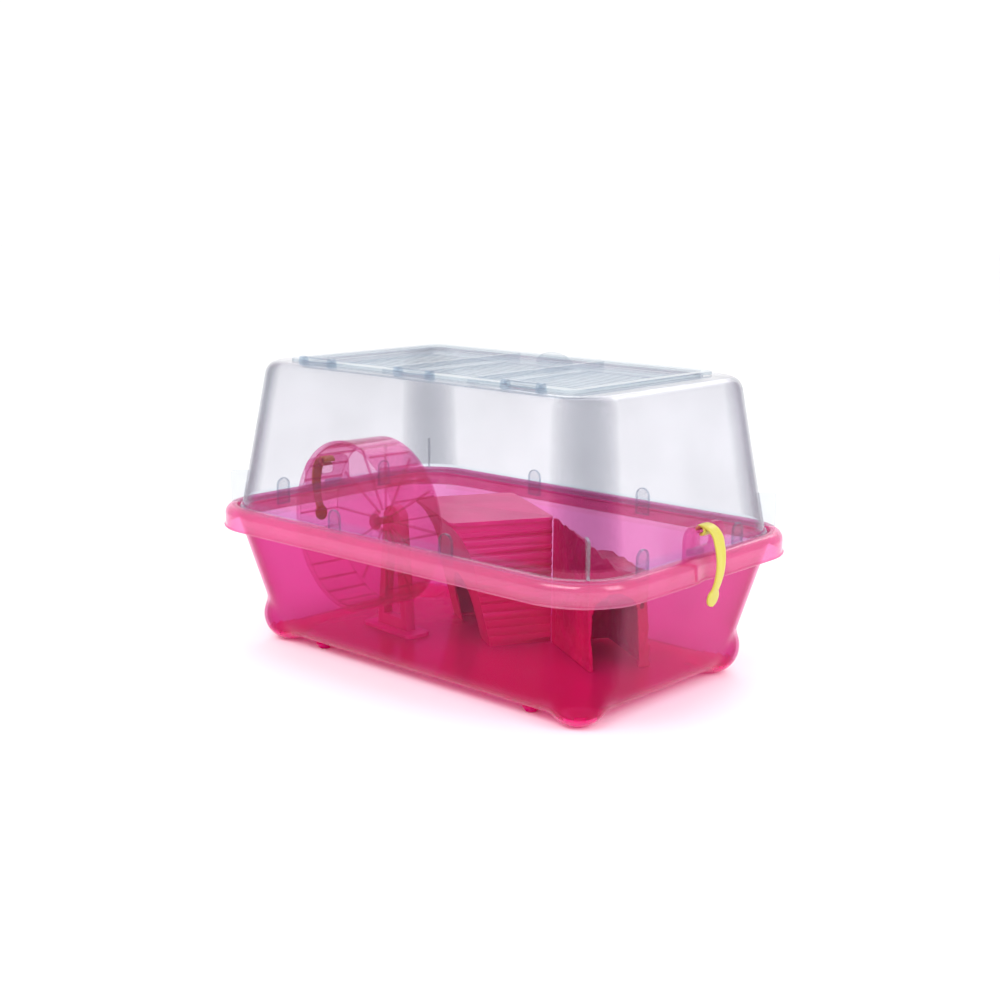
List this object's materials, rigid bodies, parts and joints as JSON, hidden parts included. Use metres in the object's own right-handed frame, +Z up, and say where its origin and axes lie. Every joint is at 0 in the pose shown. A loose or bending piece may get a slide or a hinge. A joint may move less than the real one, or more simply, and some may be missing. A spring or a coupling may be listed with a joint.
{
  "type": "hamster cage",
  "caption": "Small pet cage with a translucent tub, clear lift-off cover, slotted roof door, end clips, running wheel, den and rock cave.",
  "frame": {"origin": "on the ground at the middle of the cage's footprint", "axes": "+X along the length, -Y the long front side below the roof door's hinge, +Z up"},
  "size_m": [0.4168, 0.262, 0.2319],
  "materials": {
    "tub_pink": "translucent moulded gloss",
    "clear": "clear moulded gloss",
    "door_clear": "clear moulded gloss",
    "clip_yellow": "satin",
    "wheel_pink": "translucent moulded gloss",
    "hub_pink": "gloss",
    "stand_pink": "satin",
    "den_pink": "satin, moulded grain",
    "rock_pink": "rough moulded rock grain"
  },
  "bodies": {
    "base": {"base_tub": "tub_pink", "wheel_axle": "hub_pink", "axle_cap": "hub_pink", "wheel_stand": "stand_pink", "stand_foot": "stand_pink", "den_body": "den_pink", "deck": "den_pink", "rock_cave": "rock_pink"},
    "cover": {"top_cover": "clear"},
    "door": {"roof_door": "door_clear"},
    "right_clip": {"right_clip": "clip_yellow"},
    "left_clip": {"left_clip": "clip_yellow"},
    "wheel": {"wheel_drum": "wheel_pink", "wheel_back": "wheel_pink"}
  },
  "joints": [
    {"name": "cover_lift", "type": "slide", "parent": "base", "child": "cover", "axis": [0, 0, 1], "range_m": [0, 0.15]},
    {"name": "door_hinge", "type": "hinge", "parent": "cover", "child": "door", "pos_m": [0, -0.0874, 0.2286], "axis": [1, 0, 0], "range_deg": [0, 105]},
    {"name": "right_clip_hinge", "type": "hinge", "parent": "base", "child": "right_clip", "pos_m": [0.19267, 0, 0.13], "axis": [0, -1, 0], "range_deg": [0, 95]},
    {"name": "left_clip_hinge", "type": "hinge", "parent": "base", "child": "left_clip", "pos_m": [-0.19267, 0, 0.13], "axis": [0, 1, 0], "range_deg": [0, 95]},
    {"name": "wheel_spin", "type": "hinge", "parent": "base", "child": "wheel", "pos_m": [-0.093, -0.07, 0.0985], "axis": [0.1045, 0.9945, 0], "continuous": true}
  ]
}
